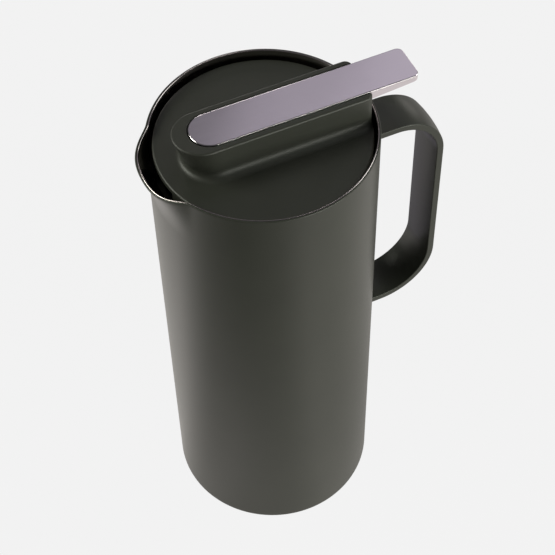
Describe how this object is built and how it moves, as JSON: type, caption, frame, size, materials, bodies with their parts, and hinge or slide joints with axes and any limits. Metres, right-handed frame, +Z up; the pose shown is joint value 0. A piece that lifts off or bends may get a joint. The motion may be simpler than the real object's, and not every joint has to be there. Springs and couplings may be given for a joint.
{
  "type": "insulated jug",
  "caption": "Tall round double-walled steel jug with a formed spout, flat D-shaped strap handle and a push-in lid whose long thumb lever lifts a sprung pouring valve.",
  "frame": {"origin": "middle of the foot pad, on the surface the jug stands on", "axes": "+Z up along the jug's axis, +X towards the handle and the lever's tail, -X towards the spout, +Y across"},
  "size_m": [0.1467, 0.105, 0.2708],
  "materials": {
    "powder_coat": "fine satin powder coat, dark olive grey",
    "bare_steel": "bare stainless steel, finely brushed",
    "lever_metal": "plated metal with a soft polish",
    "cover_plastic": "fine matt moulded plastic, dark olive grey",
    "inner_plastic": "plain moulded plastic, near black",
    "silicone": "soft silicone, grey",
    "foam": "closed-cell foam, off white",
    "solder": "dull grey metal"
  },
  "bodies": {
    "vessel": {"outer_shell": "powder_coat", "inner_liner": "bare_steel", "vacuum_base": "bare_steel", "vacuum_seal": "solder", "getter": "solder", "base_pad": "silicone", "handle": "powder_coat"},
    "lid": {"lid_cover": "cover_plastic", "lid_plug": "inner_plastic", "lid_gasket": "silicone", "lid_insulation": "foam", "divider_plate": "inner_plastic", "divider_screw_1": "bare_steel", "divider_screw_2": "bare_steel", "divider_screw_3": "bare_steel", "divider_screw_4": "bare_steel", "stem_guide": "inner_plastic", "stem_seal": "silicone", "pivot_pin": "bare_steel", "valve_spring": "bare_steel"},
    "thumb_lever": {"lever": "lever_metal"},
    "valve": {"valve_stem": "bare_steel", "link_pin": "bare_steel", "valve_seal": "silicone", "valve_head": "inner_plastic", "stem_clip": "bare_steel"}
  },
  "joints": [
    {"name": "lid_lift", "type": "slide", "parent": "vessel", "child": "lid", "axis": [0, 0, 1], "range_m": [0, 0.06]},
    {"name": "lever_press", "type": "hinge", "parent": "lid", "child": "thumb_lever", "pos_m": [0.036, 0, 0.2622], "axis": [0, 1, 0], "range_deg": [0, 9], "stiffness_Nm_per_rad": 0.78, "springref_deg": -8.02},
    {"name": "valve_lift", "type": "slide", "parent": "lid", "child": "valve", "axis": [0, 0, 1], "range_m": [0, 0.006], "deforming": ["valve_spring"]}
  ],
  "couplings": [
    {"joint": "valve_lift", "follows": "lever_press", "m_per_rad": 0.036}
  ]
}
